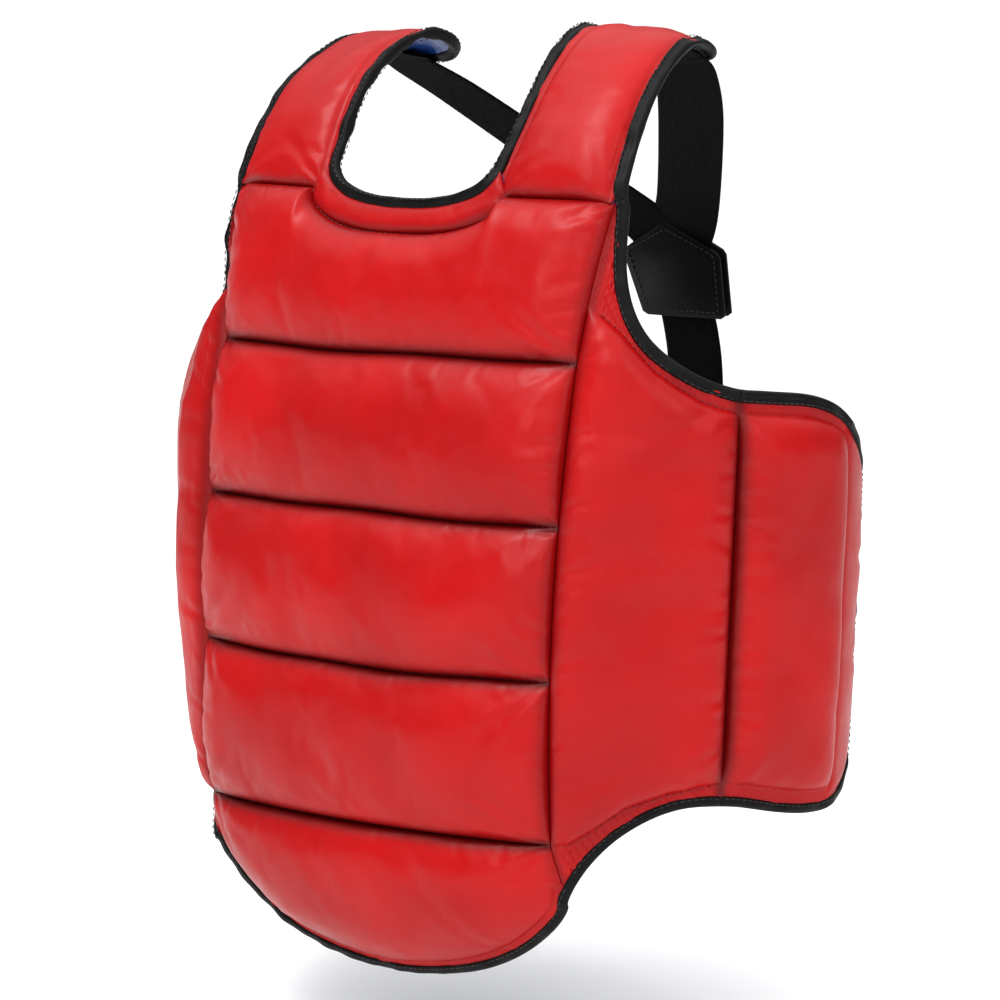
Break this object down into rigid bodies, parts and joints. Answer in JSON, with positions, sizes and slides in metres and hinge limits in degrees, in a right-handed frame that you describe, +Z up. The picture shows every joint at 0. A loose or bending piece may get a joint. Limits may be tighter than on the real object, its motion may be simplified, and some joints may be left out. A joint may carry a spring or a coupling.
{
  "type": "chest protector",
  "caption": "Padded reversible vest guard with horizontal chest channels, a half-moon abdomen pad, wrap-round side wings and an elastic back harness.",
  "frame": {"origin": "midway between the undersides of the two shoulder pads at their crest, where the guard rests on the wearer's shoulders", "axes": "+X to the wearer's left, +Y to the wearer's back, +Z up"},
  "size_m": [0.4808, 0.3629, 0.5849],
  "materials": {
    "red_cover": "satin synthetic leather with a fine grain",
    "blue_lining": "glossy synthetic leather",
    "black_binding": "smooth folded binding tape",
    "black_patch": "matte synthetic leather",
    "webbing": "matte woven elastic",
    "loop_tape": "fuzzy loop tape",
    "hook_tape": "matte hook tape",
    "foam": "closed-cell foam sheet"
  },
  "bodies": {
    "front": {"chest_foam": "foam", "upper_rib_foam": "foam", "middle_rib_foam": "foam", "lower_rib_foam": "foam", "collar_foam": "foam", "left_shoulder_foam": "foam", "right_shoulder_foam": "foam", "front_cover": "red_cover", "front_lining": "blue_lining", "left_shoulder_cover": "red_cover", "right_shoulder_cover": "red_cover", "left_shoulder_lining": "blue_lining", "right_shoulder_lining": "blue_lining", "neck_binding": "black_binding", "left_armhole_binding": "black_binding", "right_armhole_binding": "black_binding"},
    "abdomen": {"abdomen_foam": "foam", "abdomen_cover": "red_cover", "abdomen_lining": "blue_lining", "abdomen_binding": "black_binding"},
    "left_wing": {"left_wide_foam": "foam", "left_wide_cover": "red_cover", "left_wide_lining": "blue_lining", "left_wide_binding": "black_binding"},
    "right_wing": {"right_wide_foam": "foam", "right_wide_cover": "red_cover", "right_wide_lining": "blue_lining", "right_wide_binding": "black_binding"},
    "left_side": {"left_narrow_foam": "foam", "left_narrow_cover": "red_cover", "left_narrow_lining": "blue_lining", "left_end_binding": "black_binding", "left_loop_patch": "loop_tape"},
    "right_side": {"right_narrow_foam": "foam", "right_narrow_cover": "red_cover", "right_narrow_lining": "blue_lining", "right_end_binding": "black_binding", "right_loop_patch": "loop_tape"},
    "harness": {"left_shoulder_strap": "webbing", "right_shoulder_strap": "webbing", "yoke_patch_outer": "black_patch", "yoke_patch_inner": "black_patch", "centre_strap": "webbing", "waist_belt": "webbing", "left_hook_tab": "hook_tape", "right_hook_tab": "hook_tape"}
  },
  "joints": [
    {"name": "abdomen_fold", "type": "hinge", "parent": "front", "child": "abdomen", "pos_m": [0, -0.137, -0.479], "axis": [1, 0, 0], "range_deg": [-12, 12], "stiffness_Nm_per_rad": 0.4},
    {"name": "left_wing_fold", "type": "hinge", "parent": "front", "child": "left_wing", "pos_m": [0.138, -0.131, -0.479], "axis": [-0.0207, -0.0414, -0.9989], "range_deg": [0, 30], "stiffness_Nm_per_rad": 0.5},
    {"name": "right_wing_fold", "type": "hinge", "parent": "front", "child": "right_wing", "pos_m": [-0.138, -0.131, -0.479], "axis": [-0.0207, 0.0414, 0.9989], "range_deg": [0, 30], "stiffness_Nm_per_rad": 0.5},
    {"name": "left_side_fold", "type": "hinge", "parent": "left_wing", "child": "left_side", "pos_m": [0.2061, -0.05265, -0.48365], "axis": [-0.0207, -0.0414, -0.9989], "range_deg": [0, 25], "stiffness_Nm_per_rad": 0.4},
    {"name": "right_side_fold", "type": "hinge", "parent": "right_wing", "child": "right_side", "pos_m": [-0.2061, -0.05265, -0.48365], "axis": [-0.0207, 0.0414, 0.9989], "range_deg": [0, 25], "stiffness_Nm_per_rad": 0.4},
    {"name": "harness_swing", "type": "hinge", "parent": "front", "child": "harness", "pos_m": [0, 0.0315, -0.001], "axis": [1, 0, 0], "range_deg": [0, 90], "deforming": ["left_hook_tab", "right_hook_tab"]}
  ]
}
